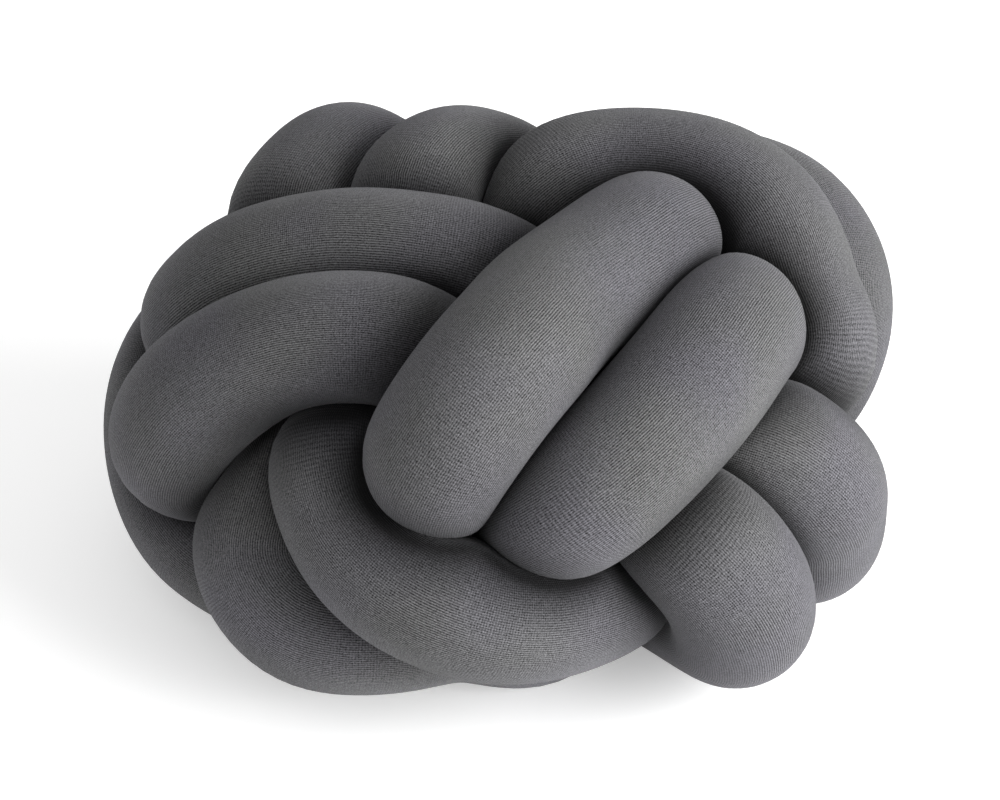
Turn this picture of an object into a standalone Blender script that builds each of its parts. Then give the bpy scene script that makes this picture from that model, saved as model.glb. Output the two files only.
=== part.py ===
# Knot cushion: one long stuffed tube of knitted cloth. It is laid twice, side by side, round
# the course of a three-strand, four-loop ball knot, and drawn up into a flattened ball.
# The layout is worked out in tube widths with the ball's middle at the origin. The solid is
# in metres and stands on the XY plane, its front toward -Y.
import math

import bmesh
import bpy
import numpy as np

TUBE_WIDTH = 0.058
PRESS_GAP = 0.001
BALL_HALF_HEIGHT = 1.68
BASE_DROP = 1.64
RING_SIDES = 14
RING_EVERY = 4
PATH_STEP = 0.05
PATH_EASING = 12
OWN_LENGTH = 0.3
FULLNESS = 0.5
FIRMNESS = 16.0
BESIDE_REACH = 1.4
# One strand at the left is drawn in a little before it dives: its phase, reach and amount.
NARROW_PHASE = 14.4
NARROW_REACH = 2.2
NARROW_AMOUNT = 0.07
END_HALF_SPLIT = 1.0
END_PHASE = 7.0

PHASES = 48.0
LAY_STEP = 0.22
COURSE_RADIUS = 2.3
COURSE_SWELL = 0.75
COURSE_LATITUDE = 0.95
COURSE_FLATNESS = 0.75
FRONT_TURN = math.radians(-135.0)

# How strands press each other: half height of one pressed at the top or base, the shell inside
# which they lie closer, room kept where they cross and more where they lie alongside.
STRAND_HALF_HEIGHT = 0.47
CORE_ACROSS = 2.2
CORE_UP = 1.15
CORE_SHARE = 0.45
CROSSING_ROOM = 0.8
BESIDE_ROOM = 0.16
NEXT_ALONG = 1.6
TAUTNESS = 0.01
DEPTH_DISCOUNT = 0.4

# Points of the strands are given as a person sees them from the front, VIEW_TILT above the
# table: across to the right, up, and toward the eye, in tube widths.
VIEW_TILT = math.radians(35.0)
ACROSS = np.array([1.0, 0.0, 0.0])
UP = np.array([0.0, math.sin(VIEW_TILT), math.cos(VIEW_TILT)])
TOWARD = np.array([0.0, -math.cos(VIEW_TILT), math.sin(VIEW_TILT)])

# One row a strand: lap, first phase, last phase, then points (across, up, toward).
STRANDS = {
    "centre_left": (1, 24.2, 31.2, [
        (1.00, 0.78, -0.90), (0.87, 0.80, -0.50), (0.88, 0.86, -0.05), (1.02, 0.99, 0.35),
        (1.07, 1.10, 0.78), (0.69, 1.04, 1.03), (0.38, 0.80, 1.28), (0.10, 0.40, 1.66),
        (-0.26, -0.16, 1.85), (-0.38, -0.36, 1.60), (-0.39, -0.49, 1.15), (-0.32, -0.60, 0.70)]),
    "centre_right": (0, 24.2, 31.2, [
        (1.25, 0.45, -0.90), (1.04, 0.34, -0.45), (0.98, 0.30, 0.05), (1.22, 0.43, 0.45),
        (1.52, 0.54, 0.80), (1.42, 0.43, 1.25), (1.25, 0.19, 1.50), (0.84, -0.29, 1.85),
        (0.45, -0.57, 1.88), (0.18, -0.67, 1.65), (0.11, -0.72, 1.20), (0.10, -0.76, 0.70)]),
    "left_upper": (1, 13.4, 17.9, [
        (0.13, 0.68, 0.60), (-0.44, 0.86, 0.70), (-1.00, 0.92, 0.60), (-1.52, 0.81, 0.40),
        (-1.76, 0.68, 0.25), (-1.94, 0.46, -0.05)]),
    "left_lower": (0, 13.4, 18.1, [
        (-0.48, 0.39, 1.25), (-0.96, 0.47, 1.25), (-1.35, 0.42, 1.15), (-1.70, 0.28, 0.95),
        (-1.97, 0.05, 0.75), (-2.10, -0.20, 0.40), (-1.97, -0.36, 0.00)]),
    "top_left": (0, 1.8, 5.6, [
        (-1.26, 1.07, -0.10), (-1.22, 1.31, -0.30), (-1.11, 1.53, -0.50), (-0.92, 1.61, -0.70),
        (-0.75, 1.57, -0.95), (-0.62, 1.44, -1.25)]),
    "top_middle": (1, 1.8, 6.0, [
        (-0.60, 1.06, 0.15), (-0.57, 1.30, 0.00), (-0.45, 1.47, -0.25), (-0.24, 1.53, -0.48),
        (-0.05, 1.48, -0.80), (0.06, 1.38, -1.15), (0.13, 1.22, -1.45)]),
    "right_inner": (1, 37.4, 42.4, [
        (0.02, 1.00, -0.10), (0.06, 1.21, -0.05), (0.25, 1.37, -0.05), (0.60, 1.43, -0.15),
        (0.94, 1.44, -0.20), (1.33, 1.42, -0.15), (1.63, 1.30, -0.10), (1.81, 1.04, 0.00),
        (1.90, 0.75, 0.02), (1.86, 0.47, 0.05), (1.74, 0.22, 0.05)]),
    "right_outer": (0, 37.8, 42.9, [
        (0.52, 1.26, -1.10), (0.97, 1.38, -1.10), (1.46, 1.43, -1.05), (1.86, 1.34, -1.00),
        (2.10, 1.11, -0.90), (2.18, 0.91, -0.80), (2.21, 0.70, -0.70), (2.17, 0.46, -0.65),
        (2.01, 0.20, -0.60), (1.75, 0.02, -0.50)]),
    "base_upper": (1, 43.9, 48.6, [
        (0.86, -1.02, 0.35), (0.68, -1.11, 0.65), (0.42, -1.20, 1.00), (0.03, -1.28, 1.22),
        (-0.27, -1.25, 1.33), (-0.57, -1.09, 1.35), (-0.83, -0.79, 1.20), (-0.96, -0.50, 0.93),
        (-1.03, -0.20, 0.55)]),
    "base_lower": (0, 44.0, 48.6, [
        (-0.02, -1.20, 0.25), (-0.44, -1.34, 0.40), (-0.82, -1.39, 0.50), (-1.22, -1.37, 0.45),
        (-1.40, -1.23, 0.40), (-1.54, -1.00, 0.38), (-1.57, -0.74, 0.28), (-1.49, -0.44, 0.05)]),
    "foot_inner": (0, 9.0, 12.7, [
        (1.34, -1.24, 0.00), (1.57, -1.38, 0.45), (1.53, -1.15, 0.85), (1.34, -0.91, 1.05),
        (1.15, -0.72, 1.15)]),
    "foot_outer": (1, 9.0, 12.7, [
        (1.60, -0.30, -0.70), (1.84, -0.45, -0.38), (2.07, -0.63, 0.05), (2.06, -0.55, 0.33),
        (1.86, -0.36, 0.50), (1.58, -0.16, 0.70)]),
    "left_outer": (1, 31.6, 36.8, [
        (-1.15, -0.84, -0.55), (-1.45, -0.92, -0.60), (-1.75, -0.92, -0.50), (-1.96, -0.82, -0.42),
        (-2.06, -0.68, -0.40), (-2.15, -0.51, -0.50), (-2.20, -0.29, -0.60), (-2.20, 0.03, -0.70),
        (-2.11, 0.29, -0.83), (-1.95, 0.46, -0.90), (-1.75, 0.58, -1.00), (-1.40, 0.62, -1.10)]),
}

# The far side repeats strands of the near side, turned about the upright axis:
# strand, turn in degrees, shift in phase, first point, first phase, last phase.
REPEATS = [
    ("base_upper", 180.0, -24.0, 0, 43.9, 48.6),
    ("base_lower", 180.0, -24.0, 0, 44.6, 48.6),
    ("base_lower", -90.0, -12.0, 0, 44.6, 48.6),
    ("centre_left", 180.0, -24.0, 6, 28.6, 31.2),
    ("centre_right", 180.0, -24.0, 6, 28.6, 31.2),
]

# Steps of drawing the knot up: half height, pull along the strands' points, rounds.
LOOSE_STEPS = [(2.2, 0.02, 80), (2.0, 0.04, 80), (1.85, 0.06, 80), (1.75, 0.08, 80),
               (1.70, 0.10, 80)]
# Steps of setting it at its own height: pull across the view, pull in depth, times sixty rounds.
FIRM_STEPS = [(0.15, 0.08, 5), (0.5, 0.25, 3)]
FIRM_ROUNDS = 60
FAR_PULL = 0.04


def course(count):
    """Two laps side by side: latitude L = a sin 4t, radius r = R - d sin 8t, turning by -3t."""
    t = np.linspace(0.0, 2.0 * math.pi, count, endpoint=False)
    turn = FRONT_TURN - 3.0 * t
    latitude = COURSE_LATITUDE * np.sin(4.0 * t)
    radius = COURSE_RADIUS - COURSE_SWELL * np.sin(8.0 * t)
    level = radius * np.cos(latitude)
    middle = np.stack([level * np.cos(turn), level * np.sin(turn),
                       COURSE_FLATNESS * radius * np.sin(latitude)], axis=1)
    along = unit(np.roll(middle, -1, axis=0) - np.roll(middle, 1, axis=0))
    outward = unit(middle * np.array([1.0, 1.0, 1.0 / COURSE_FLATNESS ** 2]))
    side = unit(np.cross(along, outward))
    phase = t * PHASES / (2.0 * math.pi)
    return [np.column_stack([middle - 0.5 * side, phase]),
            np.column_stack([middle + 0.5 * side, phase])]


def unit(vectors):
    return vectors / np.linalg.norm(vectors, axis=1)[:, None]


def lengths_along(lap):
    closed = np.vstack([lap, lap[:1]])[:, :3]
    return np.concatenate([[0.0], np.cumsum(np.linalg.norm(np.diff(closed, axis=0), axis=1))])


def spaced(lap, step):
    """The same closed lap with its points evenly spaced."""
    closed = np.vstack([lap, lap[:1]])
    closed[-1, 3] += PHASES
    length = lengths_along(lap)
    count = int(round(length[-1] / step))
    place = np.linspace(0.0, length[-1], count, endpoint=False)
    return np.stack([np.interp(place, length, closed[:, k]) for k in range(4)], axis=1)


def renumbered(lap):
    """Phases made even in length between the eight loops, found as the highest or lowest points."""
    lap = np.roll(lap, -int(np.argmin(lap[:, 3] % PHASES)), axis=0)
    phase = np.unwrap(lap[:, 3], period=PHASES)
    phase -= PHASES * math.floor(phase[0] / PHASES)
    length = lengths_along(lap)
    total = length[-1]
    length = length[:-1]
    places = []
    for loop in range(8):
        centre = 3.0 + 6.0 * loop
        near = np.where(np.abs((phase - centre + 24.0) % PHASES - 24.0) < 2.9)[0]
        height = lap[near, 2] * (1.0 if loop % 2 == 0 else -1.0)
        peak = length[near[height >= height.max() - 0.03]]
        if peak.max() - peak.min() > total / 2.0:
            peak = np.where(peak < total / 2.0, peak + total, peak)
        places.append(peak.mean() % total)
    order = np.argsort(places)
    places = np.array(places)[order]
    phases = np.unwrap((3.0 + 6.0 * np.arange(8))[order], period=PHASES)
    places = np.concatenate([[places[-1] - total], places, [places[0] + total]])
    phases = np.concatenate([[phases[-1] - PHASES], phases, [phases[0] + PHASES]])
    result = lap.copy()
    result[:, 3] = np.interp(length, places, phases)
    return result


def strand_guides():
    """Each guide: lap, first phase, last phase, points in space, whether it is on the near side."""
    guides = []
    for lap, first, last, points in STRANDS.values():
        table = np.array(points)
        space = table @ np.stack([ACROSS, UP, TOWARD])
        guides.append((lap, first, last, space, True))
    for name, degrees, shift, start, first, last in REPEATS:
        turn = math.radians(degrees)
        spin = np.array([[math.cos(turn), math.sin(turn), 0.0],
                         [-math.sin(turn), math.cos(turn), 0.0], [0.0, 0.0, 1.0]])
        space = np.array(STRANDS[name][3][start:]) @ np.stack([ACROSS, UP, TOWARD]) @ spin
        guides.append((STRANDS[name][0], first + shift, last + shift, space, False))
    return guides


def nearest_on(points, line):
    """Nearest place on an open line of points, depth counting for less; and whether it is inside."""
    start = line[:-1]
    edge = line[1:] - line[:-1]
    flat_edge = edge - DEPTH_DISCOUNT * (edge @ TOWARD)[:, None] * TOWARD
    size = (flat_edge ** 2).sum(axis=1) + 1e-9
    offset = points[:, None] - start[None]
    offset = offset - DEPTH_DISCOUNT * (offset @ TOWARD)[..., None] * TOWARD
    share = np.clip((offset * flat_edge[None]).sum(axis=2) / size[None], 0.0, 1.0)
    distance = ((offset - share[..., None] * flat_edge[None]) ** 2).sum(axis=2)
    pick = distance.argmin(axis=1)
    part = share[np.arange(len(points)), pick]
    beyond = ((pick == 0) & (part < 1e-6)) | ((pick == len(edge) - 1) & (part > 1.0 - 1e-6))
    return start[pick] + part[:, None] * edge[pick], ~beyond


def outwardness(points):
    """From 0 in the core, where strands lie closer together, to 1 at the outside."""
    depth = np.linalg.norm(points / np.array([CORE_ACROSS, CORE_ACROSS, CORE_UP]), axis=1)
    outer = np.clip((depth - CORE_SHARE) / CORE_SHARE, 0.0, 1.0)
    return outer * outer * (3.0 - 2.0 * outer)


def smoothing(lap, stiffness):
    """Moves that even out the bends of a closed lap."""
    place = lap[:, :3]
    bend = (np.roll(place, 1, axis=0) + np.roll(place, -1, axis=0)) / 2.0 - place
    mean = (np.roll(bend, 1, axis=0) + np.roll(bend, -1, axis=0)) / 2.0
    return TAUTNESS * bend / LAY_STEP + stiffness * (bend - mean)


def settle(laps, guides, rounds, half_height, pull, depth_pull, far_pull,
           inner=0.8, stiffness=0.1, shrink=0.0):
    """Strands press each other apart, stay smooth and are drawn to their guides."""
    laps = [spaced(lap, LAY_STEP) for lap in laps]
    for turn in range(rounds):
        counts = [len(lap) for lap in laps]
        points = np.vstack(laps)[:, :3]
        phase = np.vstack(laps)[:, 3]
        which = np.repeat([0, 1], counts)
        index = np.concatenate([np.arange(count) for count in counts])
        total = np.repeat(counts, counts)
        radius = 0.5 * (inner + (1.0 - inner) * outwardness(points))
        along = np.vstack([unit(np.roll(lap[:, :3], -1, axis=0) - np.roll(lap[:, :3], 1, axis=0))
                           for lap in laps])
        square = (points * points).sum(axis=1)
        apart = square[:, None] + square[None] - 2.0 * points @ points.T
        apart = np.sqrt(np.maximum(apart, 1e-9))
        aligned = np.abs(along @ along.T)
        room = radius[:, None] + radius[None]
        room = room * (CROSSING_ROOM + BESIDE_ROOM * aligned ** 2)
        steps = np.abs(index[:, None] - index[None])
        steps = np.minimum(steps, total[:, None] - steps)
        own = (which[:, None] == which[None]) & (steps * LAY_STEP < NEXT_ALONG)
        tight = (apart < room) & ~own
        weight = np.where(tight, (room - apart) / apart, 0.0)
        press = weight.sum(axis=1)[:, None] * points - weight @ points
        press *= 0.5 / np.sqrt(np.maximum(tight.sum(axis=1), 1))[:, None]
        smooth = np.vstack([smoothing(lap, stiffness) for lap in laps])
        points = points * (1.0 - shrink) + press + smooth
        for lap, first, last, line, near_side in guides:
            length = (last - first) % PHASES
            pick = np.where((which == lap) & ((phase - first) % PHASES < length))[0]
            if len(pick) == 0:
                continue
            target, inside = nearest_on(points[pick], line)
            toward = ((target - points[pick]) @ TOWARD)[:, None] * TOWARD
            flat = target - points[pick] - toward
            held = np.where(inside, 1.0, 0.0)[:, None]
            if near_side:
                points[pick] += pull * np.where(inside, 1.0, 0.2)[:, None] * flat
                points[pick] += depth_pull * held * toward
            else:
                points[pick] += far_pull * held * (flat + toward)
        rise = half_height - STRAND_HALF_HEIGHT
        points[:, 2] = np.clip(points[:, 2], -rise, rise)
        laps = np.split(np.column_stack([points, phase]), [counts[0]])
        if turn % 20 == 19:
            laps = [spaced(lap, LAY_STEP) for lap in laps]
    return laps


def tied_knot():
    """The two closed laps, drawn up from the loose course to the finished ball."""
    guides = strand_guides()
    laps = settle(course(600), [], 300, 9.0, 0.0, 0.0, 0.0,
                  inner=0.9, stiffness=0.15, shrink=0.006)
    laps = [renumbered(lap) for lap in laps]
    for half_height, pull, rounds in LOOSE_STEPS:
        for part in range(2):
            laps = settle(laps, guides, rounds // 2, half_height, pull, pull, pull)
            laps = [renumbered(lap) for lap in laps]
    for pull, depth_pull, times in FIRM_STEPS:
        for part in range(times):
            laps = settle(laps, guides, FIRM_ROUNDS, BALL_HALF_HEIGHT, pull, depth_pull, FAR_PULL)
            laps = [renumbered(lap) for lap in laps]
    return laps


def one_tube(laps):
    """The first lap runs on into the second where both lie hidden; the two ends are tucked there.

    The fourth column runs on too: the phase in the first lap, and PHASES more in the second.
    """
    mains = []
    links = []
    for lap in laps:
        fine = spaced(lap, PATH_STEP)
        phase = (fine[:, 3] - END_PHASE) % PHASES
        order = np.argsort(phase, kind="stable")
        phase = phase[order]
        fine = np.column_stack([fine[order, :3], phase + END_PHASE + PHASES * len(mains)])
        mains.append(fine[(phase >= END_HALF_SPLIT) & (phase <= PHASES - END_HALF_SPLIT)])
        links.append(np.vstack([fine[phase > PHASES - END_HALF_SPLIT], fine[phase < END_HALF_SPLIT]]))
    share = np.linspace(0.0, 1.0, min(len(link) for link in links))
    even = [np.stack([np.interp(share, np.linspace(0.0, 1.0, len(link)), link[:, k])
                      for k in range(3)], axis=1) for link in links]
    blend = (share * share * (3.0 - 2.0 * share))[:, None]
    reading = PHASES + END_PHASE + END_HALF_SPLIT * (2.0 * share - 1.0)
    link = np.column_stack([(1.0 - blend) * even[0] + blend * even[1], reading])
    return np.vstack([mains[0], link, mains[1]])


def open_spaced(path, step):
    steps = np.linalg.norm(np.diff(path[:, :3], axis=0), axis=1)
    length = np.concatenate([[0.0], np.cumsum(steps)])
    place = np.linspace(0.0, length[-1], int(round(length[-1] / step)) + 1)
    return np.stack([np.interp(place, length, path[:, k]) for k in range(4)], axis=1)


def eased(path, passes):
    """Each point moved to the mean of itself and its neighbours, the ends kept."""
    for turn in range(passes):
        path = np.vstack([path[:1], (path[:-2] + 2.0 * path[1:-1] + path[2:]) / 4.0, path[-1:]])
    return path


def ring_axes(path):
    """Along, and two crossways directions carried along the path without twisting."""
    along = unit(np.gradient(path, axis=0))
    first = np.zeros_like(path)
    carried = np.cross(along[0], [0.0, 0.0, 1.0])
    for i, direction in enumerate(along):
        carried = carried - carried.dot(direction) * direction
        carried = carried / np.linalg.norm(carried)
        first[i] = carried
    return along, first, np.cross(along, first)


def ring_reach(path, free, along_path, picks, headings):
    """Distance of each ring corner: the tube's radius, half way to a strand beside it, or the base."""
    gap = PRESS_GAP / TUBE_WIDTH / 2.0
    reach = np.zeros(headings.shape[:2])
    for i, pick in enumerate(picks):
        offset = path - path[pick]
        distance = np.linalg.norm(offset, axis=1)
        beside = (distance < BESIDE_REACH) & (np.abs(along_path - along_path[pick]) > OWN_LENGTH)
        toward = headings[i] @ offset[beside].T
        half = (distance[beside] ** 2 / 2.0 - gap * distance[beside])[None]
        limit = np.where(toward > 1e-6, half / np.maximum(toward, 1e-6), 9.0).min(axis=1, initial=9.0)
        pressed = (free[pick] ** -FIRMNESS + limit ** -FIRMNESS) ** (-1.0 / FIRMNESS)
        to_base = (path[pick][2] + BASE_DROP) / np.maximum(-headings[i][:, 2], 1e-6)
        reach[i] = np.minimum(pressed, to_base)
    return reach


def tube_mesh(path, sides):
    """Rings along the path, each end closed by a rounded cap."""
    path = open_spaced(eased(open_spaced(path, PATH_STEP), PATH_EASING), PATH_STEP)
    drawn_in = (path[:, 3] - NARROW_PHASE) / NARROW_REACH
    free = FULLNESS - NARROW_AMOUNT * np.exp(-drawn_in ** 4)
    path = path[:, :3]
    along_path = PATH_STEP * np.arange(len(path))
    picks = np.arange(0, len(path), RING_EVERY)
    along, first, second = ring_axes(path[picks])
    angle = 2.0 * math.pi * np.arange(sides) / sides
    headings = (np.cos(angle)[None, :, None] * first[:, None]
                + np.sin(angle)[None, :, None] * second[:, None])
    reach = ring_reach(path, free, along_path, picks, headings)
    from_end = np.minimum(along_path, along_path[-1] - along_path)[picks]
    cap = np.sqrt(1.0 - np.clip(1.0 - from_end / FULLNESS, 0.0, 1.0) ** 2)
    corners = path[picks][:, None] + (reach * cap[:, None])[..., None] * headings
    corners = corners[1:-1].reshape(-1, 3)
    count = len(picks) - 2
    points = np.vstack([corners, path[picks[:1]], path[picks[-1:]]])
    faces = []
    for i in range(count - 1):
        for k in range(sides):
            n = (k + 1) % sides
            faces.append((i * sides + k, i * sides + n, (i + 1) * sides + n, (i + 1) * sides + k))
    last = (count - 1) * sides
    for k in range(sides):
        n = (k + 1) % sides
        faces.append((count * sides, n, k))
        faces.append((count * sides + 1, last + k, last + n))
    return points, faces


def cloth_material():
    material = bpy.data.materials.new("knit")
    material.use_nodes = True
    shader = material.node_tree.nodes["Principled BSDF"]
    shader.inputs["Base Color"].default_value = (0.12, 0.12, 0.13, 1.0)
    shader.inputs["Roughness"].default_value = 0.95
    return material


def add_tube(name, points, faces, material):
    mesh = bpy.data.meshes.new(name)
    mesh.from_pydata([tuple(point) for point in points], [], faces)
    shape = bmesh.new()
    shape.from_mesh(mesh)
    bmesh.ops.recalc_face_normals(shape, faces=shape.faces)
    if shape.calc_volume(signed=True) < 0.0:
        bmesh.ops.reverse_faces(shape, faces=shape.faces)
    shape.to_mesh(mesh)
    shape.free()
    for face in mesh.polygons:
        face.use_smooth = True
    mesh.materials.append(material)
    thing = bpy.data.objects.new(name, mesh)
    bpy.context.collection.objects.link(thing)
    return thing


for old in list(bpy.data.objects):
    bpy.data.objects.remove(old, do_unlink=True)

points, faces = tube_mesh(one_tube(tied_knot()), RING_SIDES)
middle = (points.min(axis=0) + points.max(axis=0)) / 2.0
points = (points - np.array([middle[0], middle[1], points[:, 2].min()])) * TUBE_WIDTH
add_tube("knot_tube", points, faces, cloth_material())
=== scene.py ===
import math
import bpy
import numpy as np
from mathutils import Matrix, Vector


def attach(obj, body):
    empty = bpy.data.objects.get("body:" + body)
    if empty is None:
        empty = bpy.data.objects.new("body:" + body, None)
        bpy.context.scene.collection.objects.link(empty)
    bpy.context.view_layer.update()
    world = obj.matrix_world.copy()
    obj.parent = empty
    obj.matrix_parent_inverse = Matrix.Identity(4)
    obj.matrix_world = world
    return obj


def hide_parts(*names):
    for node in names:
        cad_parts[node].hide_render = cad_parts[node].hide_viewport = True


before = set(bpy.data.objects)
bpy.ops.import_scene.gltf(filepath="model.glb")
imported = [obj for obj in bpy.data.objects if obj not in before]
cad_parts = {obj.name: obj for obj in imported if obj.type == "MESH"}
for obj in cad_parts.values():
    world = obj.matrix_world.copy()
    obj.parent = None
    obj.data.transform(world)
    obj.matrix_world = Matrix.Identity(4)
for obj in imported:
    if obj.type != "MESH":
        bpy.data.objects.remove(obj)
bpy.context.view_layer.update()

# The knot cushion: one stuffed knitted tube, laid twice round a ball knot and drawn up.
# The layout is the part's own, worked out in tube widths with the ball's middle at the origin. The lift
# below is added here, the gap between strands is smaller than in the part's solid, and the tube is rounder
# and finer, so the surface departs a little from that solid.
knot = {
    "tubeWidth": 0.058,        # metres
    "pressGap": 0.0003,        # metres, left between strands that press together
    "fullness": 0.5,           # free radius in tube widths
    "narrow": {"place": 14.4, "reach": 2.2, "amount": 0.07},   # where a strand is drawn in before it dives
    "firmness": 22.0,          # higher keeps the tube rounder right up to a press
    "ballHalfHeight": 1.68,
    "baseDrop": 1.64,          # the base lies this far under the ball's middle
    "courseRadius": 2.3,
    "courseSwell": 0.75,
    "courseLatitude": 0.95,
    "courseFlatness": 0.75,
    "frontTurn": math.radians(-135.0),
    "viewTilt": math.radians(35.0),
    "strandHalfHeight": 0.47,  # of a strand pressed flat at the ball's top and base
    "coreAcross": 2.2,         # strands inside this shell lie closer together
    "coreUp": 1.15,
    "coreShare": 0.45,
    "crossingRoom": 0.8,       # share of a full width kept where strands cross
    "besideRoom": 0.16,        # and more where they lie alongside
    "nextAlong": 1.6,          # a strand doesn't press its own next stretch
    "innerWidth": 0.8,         # width of a strand at the core, as a share of a full one
    "tautness": 0.01,
    "stiffness": 0.1,
    "depthDiscount": 0.4,      # how much less depth counts in finding the nearest guide
    "farPull": 0.04,           # pull along the guides of the far side
    "pastEndPull": 0.2,        # share of the pull that is left past a guide's end
    "respaceEvery": 20,        # rounds between evening out the points
    "firmRounds": 60,
    "phases": 48.0,            # the reading along one lap
    "loops": 8,                # four up and four down
    "firstPeak": 3.0,          # reading at the first loop's highest point
    "peakWindow": 2.9,         # readings each side of it in which the peak is looked for
    "peakDepth": 0.03,
    "layPoints": 600,
    "layStep": 0.22,
    "pathStep": 0.05,
    "pathEasing": 12,
    "ownLength": 0.3,          # a stretch this near along the tube is the strand itself
    "neighbourReach": 1.4,     # strands farther off than this are left out
    "farAway": 9.0,
    "endPhase": 7.0,           # the two ends are tucked in here, at the back
    "endHalfSplit": 1.0,
    "endRound": 0.5,           # length over which an end closes
    "rings": 1500,
    "sides": 64,
    # the left centre strand rides over the right one, and the inner right one over the outer:
    # lap, phase, reach in phases, shift toward the eye
    "lift": [(1, 28.0, 2.2, 0.18), (0, 28.0, 2.2, -0.18), (1, 40.6, 1.3, 0.14), (0, 40.4, 1.3, -0.06)],
    "softening": 1.6,          # rings and corners over which a press is eased
    "paintedTouchShadeShare": 0.55,       # painted shade: the cloth's colour is darkened by this share where it touches any strand, fading over this distance, and more softly near one that crosses it
    "paintedTouchShadeReach": 0.035,      # fading over this distance,
    "shadeShare": 0.95,        # and more softly near one that crosses it
    "shadeReach": 0.44,
    "shadeSoftening": 4.0,
}

# A point of the table is (across, up, toward the eye), seen from the front and viewTilt above the table.
across = np.array([1.0, 0.0, 0.0])
upward = np.array([0.0, math.sin(knot["viewTilt"]), math.cos(knot["viewTilt"])])
toward = np.array([0.0, -math.cos(knot["viewTilt"]), math.sin(knot["viewTilt"])])

# One row a strand: lap, first phase, last phase, then its points.
strands = {
    "centreLeft": (1, 24.2, 31.2, [
        (1.00, 0.78, -0.90), (0.87, 0.80, -0.50), (0.88, 0.86, -0.05), (1.02, 0.99, 0.35),
        (1.07, 1.10, 0.78), (0.69, 1.04, 1.03), (0.38, 0.80, 1.28), (0.10, 0.40, 1.66),
        (-0.26, -0.16, 1.85), (-0.38, -0.36, 1.60), (-0.39, -0.49, 1.15), (-0.32, -0.60, 0.70)]),
    "centreRight": (0, 24.2, 31.2, [
        (1.25, 0.45, -0.90), (1.04, 0.34, -0.45), (0.98, 0.30, 0.05), (1.22, 0.43, 0.45),
        (1.52, 0.54, 0.80), (1.42, 0.43, 1.25), (1.25, 0.19, 1.50), (0.84, -0.29, 1.85),
        (0.45, -0.57, 1.88), (0.18, -0.67, 1.65), (0.11, -0.72, 1.20), (0.10, -0.76, 0.70)]),
    "leftUpper": (1, 13.4, 17.9, [
        (0.13, 0.68, 0.60), (-0.44, 0.86, 0.70), (-1.00, 0.92, 0.60), (-1.52, 0.81, 0.40),
        (-1.76, 0.68, 0.25), (-1.94, 0.46, -0.05)]),
    "leftLower": (0, 13.4, 18.1, [
        (-0.48, 0.39, 1.25), (-0.96, 0.47, 1.25), (-1.35, 0.42, 1.15), (-1.70, 0.28, 0.95),
        (-1.97, 0.05, 0.75), (-2.10, -0.20, 0.40), (-1.97, -0.36, 0.00)]),
    "topLeft": (0, 1.8, 5.6, [
        (-1.26, 1.07, -0.10), (-1.22, 1.31, -0.30), (-1.11, 1.53, -0.50), (-0.92, 1.61, -0.70),
        (-0.75, 1.57, -0.95), (-0.62, 1.44, -1.25)]),
    "topMiddle": (1, 1.8, 6.0, [
        (-0.60, 1.06, 0.15), (-0.57, 1.30, 0.00), (-0.45, 1.47, -0.25), (-0.24, 1.53, -0.48),
        (-0.05, 1.48, -0.80), (0.06, 1.38, -1.15), (0.13, 1.22, -1.45)]),
    "rightInner": (1, 37.4, 42.4, [
        (0.02, 1.00, -0.10), (0.06, 1.21, -0.05), (0.25, 1.37, -0.05), (0.60, 1.43, -0.15),
        (0.94, 1.44, -0.20), (1.33, 1.42, -0.15), (1.63, 1.30, -0.10), (1.81, 1.04, 0.00),
        (1.90, 0.75, 0.02), (1.86, 0.47, 0.05), (1.74, 0.22, 0.05)]),
    "rightOuter": (0, 37.8, 42.9, [
        (0.52, 1.26, -1.10), (0.97, 1.38, -1.10), (1.46, 1.43, -1.05), (1.86, 1.34, -1.00),
        (2.10, 1.11, -0.90), (2.18, 0.91, -0.80), (2.21, 0.70, -0.70), (2.17, 0.46, -0.65),
        (2.01, 0.20, -0.60), (1.75, 0.02, -0.50)]),
    "baseUpper": (1, 43.9, 48.6, [
        (0.86, -1.02, 0.35), (0.68, -1.11, 0.65), (0.42, -1.20, 1.00), (0.03, -1.28, 1.22),
        (-0.27, -1.25, 1.33), (-0.57, -1.09, 1.35), (-0.83, -0.79, 1.20), (-0.96, -0.50, 0.93),
        (-1.03, -0.20, 0.55)]),
    "baseLower": (0, 44.0, 48.6, [
        (-0.02, -1.20, 0.25), (-0.44, -1.34, 0.40), (-0.82, -1.39, 0.50), (-1.22, -1.37, 0.45),
        (-1.40, -1.23, 0.40), (-1.54, -1.00, 0.38), (-1.57, -0.74, 0.28), (-1.49, -0.44, 0.05)]),
    "footInner": (0, 9.0, 12.7, [
        (1.34, -1.24, 0.00), (1.57, -1.38, 0.45), (1.53, -1.15, 0.85), (1.34, -0.91, 1.05),
        (1.15, -0.72, 1.15)]),
    "footOuter": (1, 9.0, 12.7, [
        (1.60, -0.30, -0.70), (1.84, -0.45, -0.38), (2.07, -0.63, 0.05), (2.06, -0.55, 0.33),
        (1.86, -0.36, 0.50), (1.58, -0.16, 0.70)]),
    "leftOuter": (1, 31.6, 36.8, [
        (-1.15, -0.84, -0.55), (-1.45, -0.92, -0.60), (-1.75, -0.92, -0.50), (-1.96, -0.82, -0.42),
        (-2.06, -0.68, -0.40), (-2.15, -0.51, -0.50), (-2.20, -0.29, -0.60), (-2.20, 0.03, -0.70),
        (-2.11, 0.29, -0.83), (-1.95, 0.46, -0.90), (-1.75, 0.58, -1.00), (-1.40, 0.62, -1.10)]),
}

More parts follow.
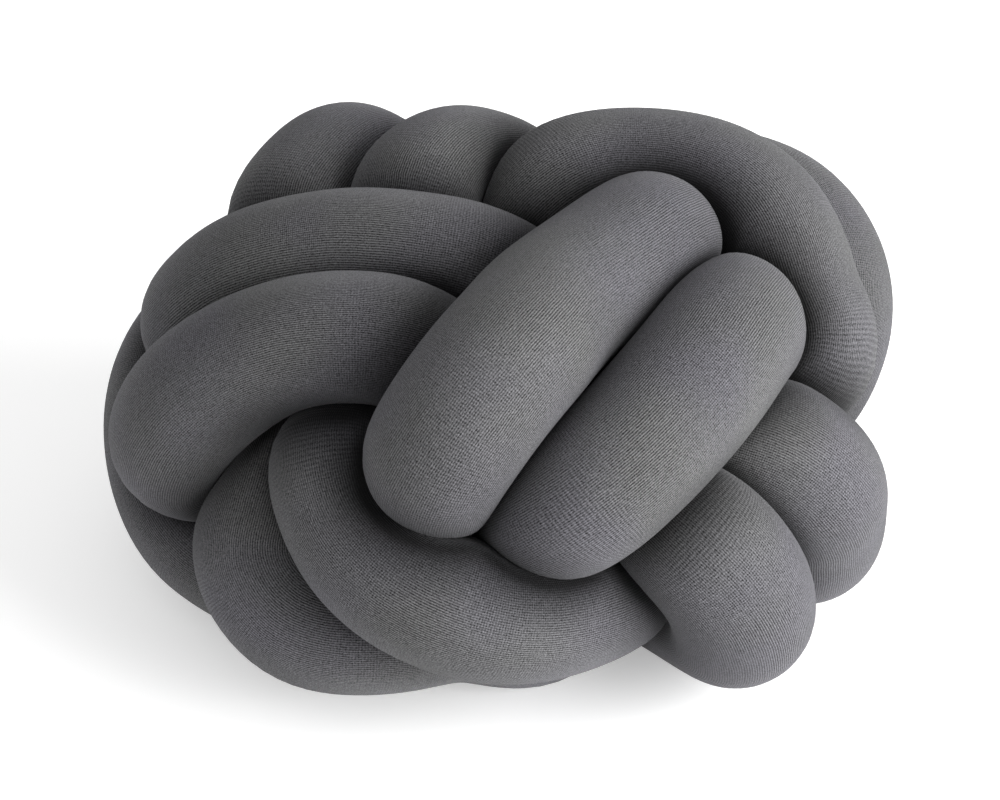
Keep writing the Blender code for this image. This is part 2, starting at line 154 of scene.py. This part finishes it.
# The far side repeats near strands, turned about the upright axis:
# strand, turn, phase shift, first point, first and last phase.
repeats = [
    ("baseUpper", 180.0, -24.0, 0, 43.9, 48.6),
    ("baseLower", 180.0, -24.0, 0, 44.6, 48.6),
    ("baseLower", -90.0, -12.0, 0, 44.6, 48.6),
    ("centreLeft", 180.0, -24.0, 6, 28.6, 31.2),
    ("centreRight", 180.0, -24.0, 6, 28.6, 31.2),
]

# Laying it out loosely, with no height limit and no guides.
looseLaying = {"rounds": 300, "halfHeight": 9.0, "inner": 0.9, "stiffness": 0.15, "shrink": 0.006}
# Drawing the knot up: half height, pull toward the guides, rounds.
looseSteps = [(2.2, 0.02, 80), (2.0, 0.04, 80), (1.85, 0.06, 80), (1.75, 0.08, 80), (1.70, 0.10, 80)]
# Setting it at its own height: pull across the view, pull in depth, how many times firmRounds.
firmSteps = [(0.15, 0.08, 5), (0.5, 0.25, 3)]


def unitRows(vectors):
    # each row divided by its own length
    return vectors / np.linalg.norm(vectors, axis=1)[:, None]


def layCourse(count):
    # Latitude is a sine of 4t, radius swells by a sine of 8t, and the course turns by -3t;
    # the two laps lie half a tube width to each side of it, square to the outward direction.
    t = np.linspace(0.0, 2.0 * math.pi, count, endpoint=False)
    turn = knot["frontTurn"] - 3.0 * t
    latitude = knot["courseLatitude"] * np.sin(4.0 * t)
    radius = knot["courseRadius"] - knot["courseSwell"] * np.sin(8.0 * t)
    level = radius * np.cos(latitude)
    flat = knot["courseFlatness"]
    height = flat * radius * np.sin(latitude)
    middle = np.stack([level * np.cos(turn), level * np.sin(turn), height], axis=1)
    along = unitRows(np.roll(middle, -1, axis=0) - np.roll(middle, 1, axis=0))
    side = unitRows(np.cross(along, unitRows(middle * np.array([1.0, 1.0, 1.0 / flat ** 2]))))
    phase = t * knot["phases"] / (2.0 * math.pi)
    return [np.column_stack([middle - 0.5 * side, phase]), np.column_stack([middle + 0.5 * side, phase])]


def lapLengths(lap):
    # the length from the first point to each point of a closed lap, and last the whole length
    closed = np.vstack([lap, lap[:1]])[:, :3]
    return np.concatenate([[0.0], np.cumsum(np.linalg.norm(np.diff(closed, axis=0), axis=1))])


def spacedLap(lap, step):
    # the same closed lap with its points evenly spaced: each column read off at even lengths
    closed = np.vstack([lap, lap[:1]])
    closed[-1, 3] += knot["phases"]
    length = lapLengths(lap)
    place = np.linspace(0.0, length[-1], int(round(length[-1] / step)), endpoint=False)
    return np.stack([np.interp(place, length, closed[:, k]) for k in range(4)], axis=1)


def renumberLap(lap):
    # phases run evenly in length between the loops, found as the highest and lowest points in turn
    phases = knot["phases"]
    half = phases / 2.0
    spacing = phases / knot["loops"]
    lap = np.roll(lap, -int(np.argmin(lap[:, 3] % phases)), axis=0)
    phase = np.unwrap(lap[:, 3], period=phases)
    phase -= phases * math.floor(phase[0] / phases)
    length = lapLengths(lap)
    total = length[-1]
    length = length[:-1]
    places = []
    for loop in range(knot["loops"]):
        fromPeak = (phase - knot["firstPeak"] - spacing * loop + half) % phases - half
        near = np.where(np.abs(fromPeak) < knot["peakWindow"])[0]
        height = lap[near, 2] * (1.0 if loop % 2 == 0 else -1.0)
        peak = length[near[height >= height.max() - knot["peakDepth"]]]
        if peak.max() - peak.min() > total / 2.0:
            peak = np.where(peak < total / 2.0, peak + total, peak)
        places.append(peak.mean() % total)
    order = np.argsort(places)
    places = np.array(places)[order]
    marks = np.unwrap((knot["firstPeak"] + spacing * np.arange(knot["loops"]))[order], period=phases)
    places = np.concatenate([[places[-1] - total], places, [places[0] + total]])
    marks = np.concatenate([[marks[-1] - phases], marks, [marks[0] + phases]])
    result = lap.copy()
    result[:, 3] = np.interp(length, places, marks)
    return result


def strandGuides():
    # lap, first phase, last phase, points in space, and whether the strand is on the near side:
    # a point is its three numbers times the three view axes, and a repeat is turned about the upright axis
    axes = np.stack([across, upward, toward])
    guides = []
    for lap, first, last, points in strands.values():
        guides.append((lap, first, last, np.array(points) @ axes, True))
    for name, degrees, shift, start, first, last in repeats:
        turn = math.radians(degrees)
        cosine = math.cos(turn)
        sine = math.sin(turn)
        spin = np.array([[cosine, sine, 0.0], [-sine, cosine, 0.0], [0.0, 0.0, 1.0]])
        space = np.array(strands[name][3][start:]) @ axes @ spin
        guides.append((strands[name][0], first + shift, last + shift, space, False))
    return guides


def nearestOnLine(points, line):
    # nearest place on an open line, depth counting for less, and whether it lies inside the line's ends
    start = line[:-1]
    edge = line[1:] - line[:-1]
    flatEdge = edge - knot["depthDiscount"] * (edge @ toward)[:, None] * toward
    size = (flatEdge ** 2).sum(axis=1) + 1e-9
    offset = points[:, None] - start[None]
    offset = offset - knot["depthDiscount"] * (offset @ toward)[..., None] * toward
    share = np.clip((offset * flatEdge[None]).sum(axis=2) / size[None], 0.0, 1.0)
    distance = ((offset - share[..., None] * flatEdge[None]) ** 2).sum(axis=2)
    pick = distance.argmin(axis=1)
    part = share[np.arange(len(points)), pick]
    beyond = ((pick == 0) & (part < 1e-6)) | ((pick == len(edge) - 1) & (part > 1.0 - 1e-6))
    return start[pick] + part[:, None] * edge[pick], ~beyond


def settle(laps, guides, rounds, halfHeight, pulls,
           inner=knot["innerWidth"], stiffness=knot["stiffness"], shrink=0.0):
    # Each round a point moves away from every one closer than their room, by half of what is missing, and
    # the sum is divided by the root of how many they are. It moves toward the middle of its neighbours by
    # tautness, evens its bend out with theirs by stiffness, and where guided moves toward the guide by pulls:
    # across the view, in depth, and on the far side.
    pull, depthPull, farPull = pulls
    laps = [spacedLap(lap, knot["layStep"]) for lap in laps]
    for turn in range(rounds):
        counts = [len(lap) for lap in laps]
        points = np.vstack(laps)[:, :3]
        phase = np.vstack(laps)[:, 3]
        which = np.repeat([0, 1], counts)
        index = np.concatenate([np.arange(count) for count in counts])
        total = np.repeat(counts, counts)
        shell = np.array([knot["coreAcross"], knot["coreAcross"], knot["coreUp"]])
        depth = np.linalg.norm(points / shell, axis=1)
        outer = np.clip((depth - knot["coreShare"]) / knot["coreShare"], 0.0, 1.0)
        radius = 0.5 * (inner + (1.0 - inner) * outer * outer * (3.0 - 2.0 * outer))
        ahead = [np.roll(lap[:, :3], -1, axis=0) - np.roll(lap[:, :3], 1, axis=0) for lap in laps]
        along = unitRows(np.vstack(ahead))
        square = (points * points).sum(axis=1)
        apart = np.sqrt(np.maximum(square[:, None] + square[None] - 2.0 * points @ points.T, 1e-9))
        aligned = np.abs(along @ along.T)
        room = (radius[:, None] + radius[None]) * (knot["crossingRoom"] + knot["besideRoom"] * aligned ** 2)
        steps = np.abs(index[:, None] - index[None])
        steps = np.minimum(steps, total[:, None] - steps)
        own = (which[:, None] == which[None]) & (steps * knot["layStep"] < knot["nextAlong"])
        tight = (apart < room) & ~own
        weight = np.where(tight, (room - apart) / apart, 0.0)
        press = weight.sum(axis=1)[:, None] * points - weight @ points
        press *= 0.5 / np.sqrt(np.maximum(tight.sum(axis=1), 1))[:, None]
        smooth = []
        for lap in laps:
            place = lap[:, :3]
            bend = (np.roll(place, 1, axis=0) + np.roll(place, -1, axis=0)) / 2.0 - place
            smooth.append(knot["tautness"] * bend / knot["layStep"]
                          + stiffness * (bend - (np.roll(bend, 1, axis=0) + np.roll(bend, -1, axis=0)) / 2.0))
        points = points * (1.0 - shrink) + press + np.vstack(smooth)
        for lap, first, last, line, nearSide in guides:
            reached = (phase - first) % knot["phases"] < (last - first) % knot["phases"]
            pick = np.where((which == lap) & reached)[0]
            if len(pick) == 0:
                continue
            target, inside = nearestOnLine(points[pick], line)
            deep = ((target - points[pick]) @ toward)[:, None] * toward
            flat = target - points[pick] - deep
            if nearSide:
                points[pick] += pull * np.where(inside, 1.0, knot["pastEndPull"])[:, None] * flat
                points[pick] += depthPull * np.where(inside, 1.0, 0.0)[:, None] * deep
            else:
                points[pick] += farPull * np.where(inside, 1.0, 0.0)[:, None] * (flat + deep)
        rise = halfHeight - knot["strandHalfHeight"]
        points[:, 2] = np.clip(points[:, 2], -rise, rise)
        laps = np.split(np.column_stack([points, phase]), [counts[0]])
        if (turn + 1) % knot["respaceEvery"] == 0:
            laps = [spacedLap(lap, knot["layStep"]) for lap in laps]
    return laps


def tieKnot():
    # laid out loosely, drawn up in steps of falling height, and set at its own height
    guides = strandGuides()
    laps = settle(layCourse(knot["layPoints"]), [], pulls=(0.0, 0.0, 0.0), **looseLaying)
    laps = [renumberLap(lap) for lap in laps]
    for halfHeight, pull, rounds in looseSteps:
        for part in range(2):
            laps = settle(laps, guides, rounds // 2, halfHeight, (pull, pull, pull))
            laps = [renumberLap(lap) for lap in laps]
    for pull, depthPull, parts in firmSteps:
        for part in range(parts):
            pulls = (pull, depthPull, knot["farPull"])
            laps = settle(laps, guides, knot["firmRounds"], knot["ballHalfHeight"], pulls)
            laps = [renumberLap(lap) for lap in laps]
    return laps


def joinLaps(laps):
    # The first lap slides over into the second where both lie hidden, and the two ends are tucked there.
    # The link is (1 - b) of one and b of the other, b being 3s squared less 2s cubed of the share s along it.
    split = knot["endHalfSplit"]
    mains = []
    links = []
    for lap in laps:
        fine = spacedLap(lap, knot["pathStep"])
        phase = (fine[:, 3] - knot["endPhase"]) % knot["phases"]
        order = np.argsort(phase, kind="stable")
        phase = phase[order]
        fine = np.column_stack([fine[order, :3], phase + knot["endPhase"] + knot["phases"] * len(mains)])
        mains.append(fine[(phase >= split) & (phase <= knot["phases"] - split)])
        links.append(np.vstack([fine[phase > knot["phases"] - split], fine[phase < split]]))
    share = np.linspace(0.0, 1.0, min(len(link) for link in links))
    even = []
    for link in links:
        place = np.linspace(0.0, 1.0, len(link))
        even.append(np.stack([np.interp(share, place, link[:, k]) for k in range(3)], axis=1))
    blend = (share * share * (3.0 - 2.0 * share))[:, None]
    reading = knot["phases"] + knot["endPhase"] + split * (2.0 * share - 1.0)
    link = np.column_stack([(1.0 - blend) * even[0] + blend * even[1], reading])
    return np.vstack([mains[0], link, mains[1]])


def openSpaced(path, count):
    # an open path read off at even lengths, and each point's length along it
    length = np.concatenate([[0.0], np.cumsum(np.linalg.norm(np.diff(path[:, :3], axis=0), axis=1))])
    place = np.linspace(0.0, length[-1], count)
    return np.stack([np.interp(place, length, path[:, k]) for k in range(4)], axis=1), place


def eased(path, passes):
    # each point moves to a quarter of each neighbour and half of itself; the ends stay
    for turn in range(passes):
        path = np.vstack([path[:1], (path[:-2] + 2.0 * path[1:-1] + path[2:]) / 4.0, path[-1:]])
    return path


def carriedAxes(path):
    # the direction along the path, and two crossways directions carried along it without twisting
    along = unitRows(np.gradient(path, axis=0))
    first = np.zeros_like(path)
    carried = np.cross(along[0], [0.0, 0.0, 1.0])
    for i, direction in enumerate(along):
        carried = carried - carried.dot(direction) * direction
        carried = carried / np.linalg.norm(carried)
        first[i] = carried
    return first, np.cross(along, first)


def softened(field, amount):
    # a bell-shaped mean along the tube and, wrapping, round it
    reach = int(math.ceil(3.0 * amount))
    bell = np.exp(-0.5 * (np.arange(-reach, reach + 1) / amount) ** 2)
    bell /= bell.sum()
    lengthways = np.pad(field, ((reach, reach), (0, 0)), mode="edge")
    field = sum(bell[k] * lengthways[k:k + len(field)] for k in range(2 * reach + 1))
    return sum(bell[k] * np.roll(field, k - reach, axis=1) for k in range(2 * reach + 1))


def lifted(path):
    # each row of lift moves the path toward the eye by its shift times e to the minus square of
    # (phase - middle) / reach
    for lap, phase, reach, shift in knot["lift"]:
        share = np.exp(-((path[:, 3] - lap * knot["phases"] - phase) / reach) ** 2)
        path[:, :3] += shift * share[:, None] * toward
    return path


def roomToNeighbours(rings, place, near, nearPlace, headings):
    # A corner on heading h may reach (d squared / 2 - gap d) / (o . h) toward a strand at offset o and
    # distance d, the least of all strands near by. The second result is how squarely that strand crosses:
    # 1 less the square of the cosine between the two.
    gap = knot["pressGap"] / knot["tubeWidth"] / 2.0
    limits = np.full(headings.shape[:2], knot["farAway"])
    crossing = np.zeros(headings.shape[:2])
    ringAlong = unitRows(np.gradient(rings, axis=0))
    nearAlong = unitRows(np.gradient(near, axis=0))
    for i, centre in enumerate(rings):
        offset = near - centre
        distance = np.linalg.norm(offset, axis=1)
        beside = (distance < knot["neighbourReach"]) & (np.abs(nearPlace - place[i]) > knot["ownLength"])
        if not beside.any():
            continue
        facing = headings[i] @ offset[beside].T
        half = (distance[beside] ** 2 / 2.0 - gap * distance[beside])[None]
        reach = np.where(facing > 1e-6, half / np.maximum(facing, 1e-6), knot["farAway"])
        pick = reach.argmin(axis=1)
        limits[i] = reach.min(axis=1)
        crossing[i] = 1.0 - (nearAlong[beside][pick] @ ringAlong[i]) ** 2
    return limits, crossing


def creaseShade(room, crossing):
    # painted shade for creases: the touching share times e to the minus room over its reach, and shadeShare
    # times the softened crossing times e to the minus room / shadeReach, at most 1
    paintedShade = knot["paintedTouchShadeShare"] * np.exp(-room / knot["paintedTouchShadeReach"])
    square = softened(crossing, knot["shadeSoftening"])
    paintedShade = paintedShade + knot["shadeShare"] * square * np.exp(-room / knot["shadeReach"])
    return np.minimum(paintedShade, 1.0)


def tubeSurface(path):
    # A ring of corners round each place on the path. A corner's distance is the free radius and the room to
    # the neighbours, blended by a high power p: (free to the -p + room to the -p) to the -1/p.
    # The base cuts it off at the height above it over the heading's downward share, and an end closes as a
    # quarter circle.
    count = int(round(openSpaced(path, 2)[1][-1] / knot["pathStep"])) + 1
    path = lifted(eased(openSpaced(path, count)[0], knot["pathEasing"]))
    near, nearPlace = openSpaced(path, 2 * count)
    rings, place = openSpaced(path, knot["rings"])
    drawnIn = (rings[:, 3:] - knot["narrow"]["place"]) / knot["narrow"]["reach"]
    free = knot["fullness"] - knot["narrow"]["amount"] * np.exp(-drawnIn ** 4)
    near = near[:, :3]
    rings = rings[:, :3]
    first, second = carriedAxes(rings)
    angle = 2.0 * math.pi * np.arange(knot["sides"]) / knot["sides"]
    headings = np.cos(angle)[None, :, None] * first[:, None]
    headings = headings + np.sin(angle)[None, :, None] * second[:, None]
    limits, crossing = roomToNeighbours(rings, place, near, nearPlace, headings)
    power = knot["firmness"]
    pressed = (free ** -power + limits ** -power) ** (-1.0 / power)
    pressed = np.minimum(softened(pressed, knot["softening"]), limits)
    toBase = (rings[:, 2:] + knot["baseDrop"]) / np.maximum(-headings[..., 2], 1e-6)
    pressed = np.minimum(pressed, toBase)
    fromEnd = np.minimum(place, place[-1] - place)
    cap = np.sqrt(1.0 - np.clip(1.0 - fromEnd / knot["endRound"], 0.0, 1.0) ** 2)
    corners = rings[:, None] + (pressed * cap[:, None])[..., None] * headings
    # the third result is painted shade, darkest where strands touch and cross
    return corners, place, creaseShade(np.maximum(limits - pressed, 0.0), crossing)


def addGridTube(name, corners, along, paintedShade, aroundLength, material):
    # quads between neighbouring rings, the ends drawn to a point; uv is metres along and metres round,
    # and each corner carries how much painted shade darkens its colour where strands touch and cross
    ringCount, sides = corners.shape[:2]
    mesh = bpy.data.meshes.new(name)
    i, k = np.meshgrid(np.arange(ringCount - 1), np.arange(sides), indexing="ij")
    n = (k + 1) % sides
    here = i * sides
    ahead = here + sides
    quads = np.stack([here + k, here + n, ahead + n, ahead + k], axis=-1).reshape(-1, 4)
    mesh.vertices.add(ringCount * sides)
    mesh.vertices.foreach_set("co", corners.astype(np.float32).ravel())
    mesh.loops.add(quads.size)
    mesh.loops.foreach_set("vertex_index", quads.astype(np.int32).ravel())
    mesh.polygons.add(len(quads))
    mesh.polygons.foreach_set("loop_start", np.arange(0, quads.size, 4, dtype=np.int32))
    mesh.polygons.foreach_set("use_smooth", np.ones(len(quads), dtype=bool))
    round0 = k / sides * aroundLength
    round1 = (k + 1) / sides * aroundLength
    uv = np.stack([np.stack([along[i], round0], -1), np.stack([along[i], round1], -1),
                   np.stack([along[i + 1], round1], -1), np.stack([along[i + 1], round0], -1)], axis=2)
    mesh.uv_layers.new(name="knitMap").data.foreach_set("uv", uv.astype(np.float32).ravel())
    # painted shade, kept as an attribute of each corner
    shade = mesh.attributes.new("paintedShade", "FLOAT", "POINT")
    shade.data.foreach_set("value", paintedShade.astype(np.float32).ravel())
    mesh.materials.append(material)
    mesh.validate()
    mesh.update()
    thing = bpy.data.objects.new(name, mesh)
    bpy.context.collection.objects.link(thing)
    return thing


# The cloth: fine plain knit, its columns of stitches running along the tube. Patterns are noise scales.
cloth = {
    "walesRound": 192,         # columns of stitches round the tube
    "courseLength": 0.00074,   # metres between rows of stitches
    "ridge": 0.00022,          # metres, height of a stitch
    "relief": 0.8,             # how strongly that height shows
    "fibreRelief": 0.6,        # height of the fibres against a stitch
    "colour": (0.0760, 0.0760, 0.0765, 1.0),
    "tint": (0.0765, 0.0749, 0.0828, 1.0),   # wide patches lean to this
    "tintPattern": 13.0,
    "tintRange": (0.40, 0.62),
    "weaveContrast": 1.2,      # share of the colour that the stitches and the fibres take off and add
    "fibreContrast": 1.5,
    "fibrePattern": 1700.0,
    "patchContrast": 0.16,
    "patchPattern": 22.0,
    "walePattern": 70.0,       # the columns bow to and fro by this much of a stitch
    "waleBow": 0.9,
    "coursePattern": 55.0,     # and the rows by this
    "courseBow": 1.2,
    "rowPattern": 26.0,        # where rows show more than columns, and how much they show
    "rowRange": (0.36, 0.62),
    "rowShare": (0.05, 0.40),
    "paintedShadeDepth": 0.95,       # painted shade: share of the colour taken off where strands meet
    "leastBright": 0.05,
    "roughness": 0.95,
    "specular": 0.15,
    "fuzz": 0.14,
    "fuzzRoughness": 0.4,
    "fuzzTint": (0.80, 0.80, 0.84, 1.0),
}


def knitMaterial():
    # Stitches are columns and rows of ridges mixed by patches. Their height and the fibres' make the relief.
    # The colour is scaled by 1, more or less for stitches, fibres and patches, and less in creases, where
    # shade is painted.
    material = bpy.data.materials.new("knit")
    material.use_nodes = True
    nodes = material.node_tree.nodes
    links = material.node_tree.links
    shader = nodes["Principled BSDF"]
    shader.inputs["Roughness"].default_value = cloth["roughness"]
    shader.inputs["Specular IOR Level"].default_value = cloth["specular"]
    shader.inputs["Sheen Weight"].default_value = cloth["fuzz"]
    shader.inputs["Sheen Roughness"].default_value = cloth["fuzzRoughness"]
    shader.inputs["Sheen Tint"].default_value = cloth["fuzzTint"]

    def reckon(kind, *values):
        node = nodes.new("ShaderNodeMath")
        node.operation = kind
        for slot, value in enumerate(values):
            if isinstance(value, float):
                node.inputs[slot].default_value = value
            else:
                links.new(value, node.inputs[slot])
        return node.outputs[0]

    knitMap = nodes.new("ShaderNodeUVMap")
    knitMap.uv_map = "knitMap"
    split = nodes.new("ShaderNodeSeparateXYZ")
    links.new(knitMap.outputs[0], split.inputs[0])
    objectMap = nodes.new("ShaderNodeTexCoord")

    def noise(scale, detail):
        node = nodes.new("ShaderNodeTexNoise")
        node.inputs["Scale"].default_value = scale
        node.inputs["Detail"].default_value = detail
        links.new(objectMap.outputs["Object"], node.inputs["Vector"])
        return node.outputs["Fac"]

    def ridges(count, bow):
        # half the sine of the count in turns, and a half: 1 on the crest of each line and 0 in the furrow
        turns = reckon("MULTIPLY", reckon("ADD", count, bow), 2.0 * math.pi)
        return reckon("MULTIPLY_ADD", reckon("SINE", turns), 0.5, 0.5)

    perMetre = cloth["walesRound"] / (math.pi * knot["tubeWidth"])
    perWale = reckon("MULTIPLY", split.outputs["Y"], perMetre)
    wale = ridges(perWale, reckon("MULTIPLY", noise(cloth["walePattern"], 1.0), cloth["waleBow"]))
    perCourse = reckon("DIVIDE", split.outputs["X"], cloth["courseLength"])
    course = ridges(perCourse, reckon("MULTIPLY", noise(cloth["coursePattern"], 1.0), cloth["courseBow"]))
    # rows of stitches show more in some patches and columns in others
    patch = nodes.new("ShaderNodeMapRange")
    patch.interpolation_type = "SMOOTHSTEP"
    patch.inputs["From Min"].default_value = cloth["rowRange"][0]
    patch.inputs["From Max"].default_value = cloth["rowRange"][1]
    patch.inputs["To Min"].default_value = cloth["rowShare"][0]
    patch.inputs["To Max"].default_value = cloth["rowShare"][1]
    links.new(noise(cloth["rowPattern"], 1.0), patch.inputs["Value"])
    rows = patch.outputs["Result"]
    columns = reckon("SUBTRACT", 1.0, rows)
    stitches = reckon("ADD", reckon("MULTIPLY", course, rows), reckon("MULTIPLY", wale, columns))
    fibre = noise(cloth["fibrePattern"], 3.0)
    height = reckon("MULTIPLY_ADD", fibre, cloth["fibreRelief"], stitches)

    bump = nodes.new("ShaderNodeBump")
    bump.inputs["Strength"].default_value = cloth["relief"]
    bump.inputs["Distance"].default_value = cloth["ridge"]
    links.new(height, bump.inputs["Height"])
    links.new(bump.outputs[0], shader.inputs["Normal"])

    # brightness: 1, and more or less by the stitches, the fibres and wide soft patches, less where shade is
    # painted in the creases
    bright = reckon("MULTIPLY_ADD", reckon("SUBTRACT", stitches, 0.5), cloth["weaveContrast"], 1.0)
    bright = reckon("MULTIPLY_ADD", reckon("SUBTRACT", fibre, 0.5), 2.0 * cloth["fibreContrast"], bright)
    patches = reckon("SUBTRACT", noise(cloth["patchPattern"], 3.0), 0.5)
    bright = reckon("MULTIPLY_ADD", patches, 2.0 * cloth["patchContrast"], bright)
    # painted shade: the tube's attribute takes colour off in creases and under crossing strands
    shade = nodes.new("ShaderNodeAttribute")
    shade.attribute_name = "paintedShade"
    kept = reckon("MULTIPLY_ADD", shade.outputs["Fac"], -cloth["paintedShadeDepth"], 1.0)
    bright = reckon("MAXIMUM", reckon("MULTIPLY", bright, kept), cloth["leastBright"])
    yarn = nodes.new("ShaderNodeValToRGB")
    yarn.color_ramp.elements[0].position = cloth["tintRange"][0]
    yarn.color_ramp.elements[0].color = cloth["colour"]
    yarn.color_ramp.elements[1].position = cloth["tintRange"][1]
    yarn.color_ramp.elements[1].color = cloth["tint"]
    links.new(noise(cloth["tintPattern"], 2.0), yarn.inputs[0])
    colour = nodes.new("ShaderNodeVectorMath")
    colour.operation = "SCALE"
    links.new(yarn.outputs[0], colour.inputs[0])
    links.new(bright, colour.inputs["Scale"])
    links.new(colour.outputs[0], shader.inputs["Base Color"])
    return material


print("tying the knot")
laps = tieKnot()
print("shaping the tube")
corners, along, paintedShade = tubeSurface(joinLaps(laps))
middle = (corners.reshape(-1, 3).min(axis=0) + corners.reshape(-1, 3).max(axis=0)) / 2.0
shift = np.array([-middle[0], -middle[1], knot["baseDrop"]])
width = knot["tubeWidth"]
placed = (corners + shift) * width
tube = addGridTube("knottedTube", placed, along * width, paintedShade, math.pi * width, knitMaterial())
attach(tube, "root")
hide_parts("knot_tube")

# Floor, light and camera
studio = {
    "floorHalf": 4.0,          # metres, half the floor's width
    "floorColour": (0.90, 0.90, 0.90, 1.0),
    "floorRoughness": 0.9,
    "floorSpecular": 0.1,
    "floorPaintedGlow": 0.34,         # painted light: the floor glows, which keeps the cushion's shadow on it pale
    "worldStrength": 0.65,
    "key": {"place": (1.72, -0.84, 0.72), "size": 1.9, "power": 97.0},
    "fill": {"place": (-0.4, -1.4, 1.8), "size": 1.2, "power": 4.0},
    "distance": 30.0,          # tube widths from the ball's middle
    "sensorWidth": 36.0,       # millimetres
    "pictureWidth": 1000.0,    # pixels
    "pixelsPerWidth": 150.0,   # pixels to a tube width
    "middleUp": 5.0,           # pixels from the picture's middle down to the ball's middle
    "farthestSeen": 50.0,      # metres
}


def addFloor():
    # a flat square sheet round the origin, matt, and glowing a little as painted light
    half = studio["floorHalf"]
    mesh = bpy.data.meshes.new("floor")
    rim = [(-half, -half, 0.0), (half, -half, 0.0), (half, half, 0.0), (-half, half, 0.0)]
    mesh.from_pydata(rim, [], [(0, 1, 2, 3)])
    material = bpy.data.materials.new("floorPale")
    material.use_nodes = True
    shader = material.node_tree.nodes["Principled BSDF"]
    shader.inputs["Base Color"].default_value = studio["floorColour"]
    shader.inputs["Roughness"].default_value = studio["floorRoughness"]
    shader.inputs["Specular IOR Level"].default_value = studio["floorSpecular"]
    # painted light: a white glow, though the floor is no lamp
    shader.inputs["Emission Color"].default_value = (1.0, 1.0, 1.0, 1.0)
    shader.inputs["Emission Strength"].default_value = studio["floorPaintedGlow"]
    mesh.materials.append(material)
    floor = bpy.data.objects.new("floor", mesh)
    bpy.context.collection.objects.link(floor)


def addLamp(name, settings, aim):
    # a round lamp whose face is turned toward the aim
    data = bpy.data.lights.new(name, "AREA")
    data.shape = "DISK"
    data.size = settings["size"]
    data.energy = settings["power"]
    lamp = bpy.data.objects.new(name, data)
    lamp.location = settings["place"]
    bpy.context.collection.objects.link(lamp)
    lamp.rotation_euler = (Vector(aim) - lamp.location).to_track_quat("-Z", "Y").to_euler()


def addCamera(ballMiddle):
    # The lens is the sensor's width times the pixels of the distance over the pixels of the picture, so that
    # a tube width at the ball's middle covers pixelsPerWidth.
    width = knot["tubeWidth"]
    data = bpy.data.cameras.new("photoCamera")
    data.sensor_fit = "HORIZONTAL"
    data.sensor_width = studio["sensorWidth"]
    data.lens = studio["sensorWidth"] * studio["pixelsPerWidth"] * studio["distance"] / studio["pictureWidth"]
    data.clip_end = studio["farthestSeen"]
    camera = bpy.data.objects.new("photoCamera", data)
    bpy.context.collection.objects.link(camera)
    aim = ballMiddle + upward * width * studio["middleUp"] / studio["pixelsPerWidth"]
    place = aim + toward * width * studio["distance"]
    turn = Matrix((across, upward, toward)).transposed().to_4x4()
    camera.matrix_world = Matrix.Translation(Vector(place)) @ turn
    bpy.context.scene.camera = camera


print("floor, light and camera")
ballMiddle = shift * width
addFloor()
for name in ("key", "fill"):
    addLamp(name, studio[name], ballMiddle)
addCamera(ballMiddle)
world = bpy.data.worlds.new("studio")
world.use_nodes = True
world.node_tree.nodes["Background"].inputs[0].default_value = (1.0, 1.0, 1.0, 1.0)
world.node_tree.nodes["Background"].inputs[1].default_value = studio["worldStrength"]
bpy.context.scene.world = world
bpy.context.scene.view_settings.view_transform = "Standard"
